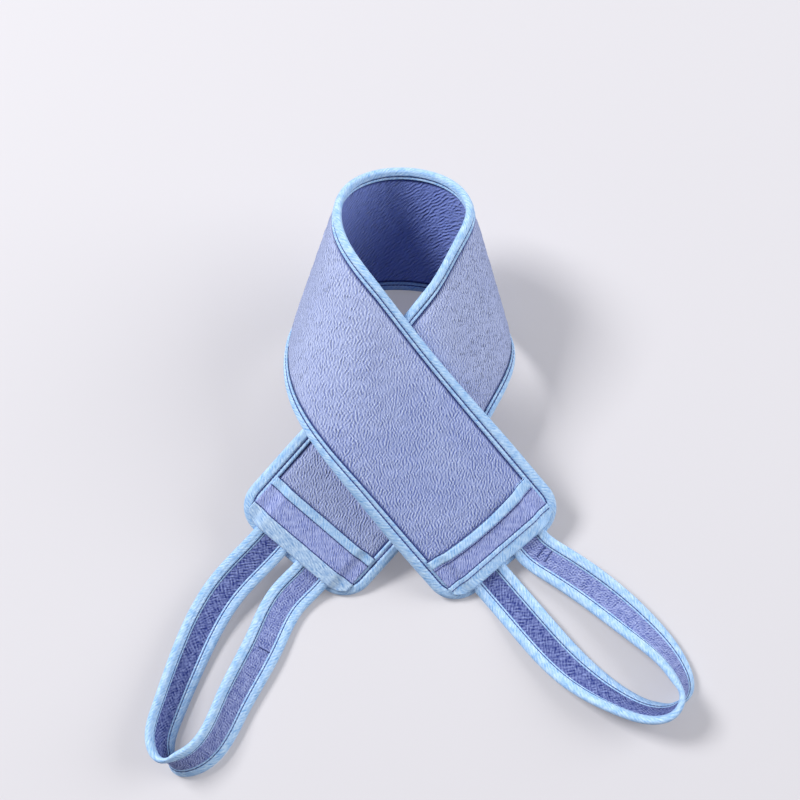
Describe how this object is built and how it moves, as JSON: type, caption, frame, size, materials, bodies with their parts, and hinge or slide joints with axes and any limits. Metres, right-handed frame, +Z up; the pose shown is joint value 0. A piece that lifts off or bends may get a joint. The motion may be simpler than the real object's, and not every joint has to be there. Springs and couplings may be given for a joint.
{
  "type": "loofah back scrubber",
  "caption": "Long padded fabric scrubbing strap rolled into a ribbon shape, with a stitched band and a flat fabric hand loop hinged at each end.",
  "frame": {"origin": "on the floor, midway across the width and depth of the part as it lies rolled up", "axes": "+Z up from the floor, +Y from the hand loops towards the standing round of the ribbon, +X towards the right-hand loop seen from the hand loops"},
  "size_m": [0.3208, 0.3618, 0.1109],
  "materials": {
    "terry": "ribbed looped pile",
    "foam": "soft padding, hidden inside",
    "tape": "twill binding tape",
    "band": "knitted strip",
    "webbing": "smooth knit",
    "lining": "fuzzy coarse knit"
  },
  "bodies": {
    "pad": {"foam_core": "foam", "scrub_face": "terry", "back_face": "terry", "edge_tape": "tape", "right_sewn_ends": "webbing", "right_end_tape": "tape", "right_band": "band", "right_inner_tape": "tape", "left_sewn_ends": "webbing", "left_end_tape": "tape", "left_band": "band", "left_inner_tape": "tape"},
    "left_hand_loop": {"left_loop_face": "webbing", "left_loop_lining": "lining", "left_loop_upper_tape": "tape", "left_loop_lower_tape": "tape"},
    "right_hand_loop": {"right_loop_face": "webbing", "right_loop_lining": "lining", "right_loop_upper_tape": "tape", "right_loop_lower_tape": "tape"}
  },
  "joints": [
    {"name": "left_loop_flex", "type": "hinge", "parent": "pad", "child": "left_hand_loop", "pos_m": [-0.08211, -0.05351, 0.01485], "axis": [-0.7551, 0.5688, 0.3261], "range_deg": [-60, 80]},
    {"name": "right_loop_flex", "type": "hinge", "parent": "pad", "child": "right_hand_loop", "pos_m": [0.05348, -0.05191, 0.00819], "axis": [-0.7529, -0.6396, -0.1551], "range_deg": [-60, 80]}
  ]
}
